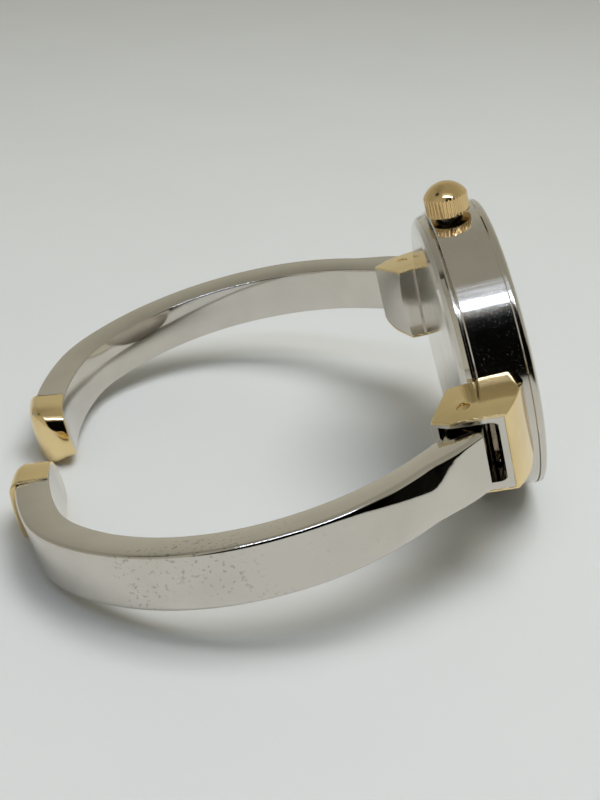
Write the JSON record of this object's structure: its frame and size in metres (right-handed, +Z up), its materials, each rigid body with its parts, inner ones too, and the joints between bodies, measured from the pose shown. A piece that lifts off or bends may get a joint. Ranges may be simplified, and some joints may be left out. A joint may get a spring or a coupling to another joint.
{
  "type": "cuff watch",
  "caption": "Round wristwatch on a sprung cuff: two hinged steel arms with gold end caps, lug hoods, crown and geared hands.",
  "frame": {"origin": "middle of the bounding box, on the floor the watch rests on", "axes": "+X the way the dial faces, +Y from twelve towards six o'clock across both arms, +Z up, towards the crown; the head leans back by 14.3 degrees as it lies on its rim and its two end caps"},
  "size_m": [0.0584, 0.0654, 0.0352],
  "materials": {
    "polished_steel": "mirror polished, lightly scratched",
    "gold_plating": "gold plated, polished",
    "crystal_glass": "clear, polished",
    "gasket_rubber": "matt",
    "clear_gasket": "milky",
    "dial_lacquer": "satin lacquer",
    "gilt_hands": "gilt, polished",
    "wheel_brass": "grained",
    "plain_steel": "satin",
    "spring_steel": "drawn wire",
    "coil_copper": "enamelled copper wire",
    "board_green": "satin",
    "holder_plastic": "moulded"
  },
  "bodies": {
    "watch_head": {"case_body": "polished_steel", "bezel": "polished_steel", "crystal": "crystal_glass", "crystal_gasket": "clear_gasket", "flange_ring": "dial_lacquer", "dial": "dial_lacquer", "hour_markers": "gilt_hands", "stator": "plain_steel", "coil": "coil_copper", "main_plate": "wheel_brass", "train_bridge": "plain_steel", "circuit_board": "board_green", "quartz_can": "plain_steel", "battery": "plain_steel", "battery_clip": "plain_steel", "movement_screws": "plain_steel", "movement_ring": "holder_plastic", "case_tube": "plain_steel", "case_back": "polished_steel", "back_gasket": "gasket_rubber", "lug_block_12": "polished_steel", "lug_block_6": "polished_steel", "lug_hood_12": "gold_plating", "lug_hood_6": "gold_plating", "hinge_pin_12": "gold_plating", "hinge_pin_6": "gold_plating", "hinge_spring_12": "spring_steel", "hinge_spring_6": "spring_steel"},
    "arm_12": {"arm_12": "polished_steel", "end_cap_12": "gold_plating"},
    "arm_6": {"arm_6": "polished_steel", "end_cap_6": "gold_plating"},
    "winding_clutch": {"sliding_pinion": "plain_steel"},
    "crown_and_stem": {"crown": "gold_plating", "winding_stem": "plain_steel", "crown_gasket": "gasket_rubber"},
    "stem_lever": {"setting_lever": "plain_steel"},
    "minutes": {"centre_wheel": "wheel_brass", "minute_hand": "gilt_hands"},
    "hours": {"hour_wheel": "wheel_brass", "hour_hand": "gilt_hands"},
    "motion": {"minute_wheel": "wheel_brass"},
    "setting": {"setting_wheel": "wheel_brass"},
    "third": {"third_wheel": "wheel_brass"},
    "intermediate": {"intermediate_wheel": "wheel_brass"},
    "stepping_rotor": {"rotor": "plain_steel"}
  },
  "joints": [
    {"name": "arm_12_hinge", "type": "hinge", "parent": "watch_head", "child": "arm_12", "pos_m": [0.01747, -0.0198, 0.01492], "axis": [-0.247, 0, 0.969], "range_deg": [0, 22], "stiffness_Nm_per_rad": 0.06, "springref_deg": -20.05},
    {"name": "arm_6_hinge", "type": "hinge", "parent": "watch_head", "child": "arm_6", "pos_m": [0.01747, 0.0198, 0.01492], "axis": [0.247, 0, -0.969], "range_deg": [0, 22], "stiffness_Nm_per_rad": 0.06, "springref_deg": -20.05},
    {"name": "crown_turn", "type": "hinge", "parent": "watch_head", "child": "winding_clutch", "pos_m": [0.01995, 0, 0.02278], "axis": [-0.247, 0, 0.969], "continuous": true},
    {"name": "crown_pull", "type": "slide", "parent": "winding_clutch", "child": "crown_and_stem", "axis": [-0.247, 0, 0.969], "range_m": [0, 0.0008]},
    {"name": "lever_swing", "type": "hinge", "parent": "watch_head", "child": "stem_lever", "pos_m": [0.01992, 0.0038, 0.02535], "axis": [-0.969, 0, -0.247], "range_deg": [0, 14.64]},
    {"name": "minute_turn", "type": "hinge", "parent": "watch_head", "child": "minutes", "pos_m": [0.02314, 0, 0.01636], "axis": [-0.969, 0, -0.247], "continuous": true},
    {"name": "hour_turn", "type": "hinge", "parent": "watch_head", "child": "hours", "pos_m": [0.02362, 0, 0.01649], "axis": [-0.969, 0, -0.247], "continuous": true},
    {"name": "minute_wheel_turn", "type": "hinge", "parent": "watch_head", "child": "motion", "pos_m": [0.02261, -0.00212, 0.01842], "axis": [-0.969, 0, -0.247], "continuous": true},
    {"name": "setting_wheel_turn", "type": "hinge", "parent": "watch_head", "child": "setting", "pos_m": [0.02183, -0.00134, 0.02148], "axis": [-0.969, 0, -0.247], "continuous": true},
    {"name": "third_wheel_turn", "type": "hinge", "parent": "watch_head", "child": "third", "pos_m": [0.02262, -0.00096, 0.01352], "axis": [-0.969, 0, -0.247], "continuous": true},
    {"name": "intermediate_wheel_turn", "type": "hinge", "parent": "watch_head", "child": "intermediate", "pos_m": [0.02285, -0.00346, 0.01264], "axis": [-0.969, 0, -0.247], "continuous": true},
    {"name": "rotor_turn", "type": "hinge", "parent": "watch_head", "child": "stepping_rotor", "pos_m": [0.02261, -0.00531, 0.01359], "axis": [-0.969, 0, -0.247], "continuous": true}
  ],
  "couplings": [
    {"joint": "lever_swing", "follows": "crown_pull", "rad_per_m": 312.82},
    {"joint": "hour_turn", "follows": "minute_turn", "ratio": 0.083333},
    {"joint": "minute_wheel_turn", "follows": "minute_turn", "ratio": -0.33333},
    {"joint": "setting_wheel_turn", "follows": "minute_turn", "ratio": 0.75},
    {"joint": "third_wheel_turn", "follows": "minute_turn", "ratio": -4},
    {"joint": "intermediate_wheel_turn", "follows": "minute_turn", "ratio": 15},
    {"joint": "rotor_turn", "follows": "minute_turn", "ratio": -90}
  ]
}
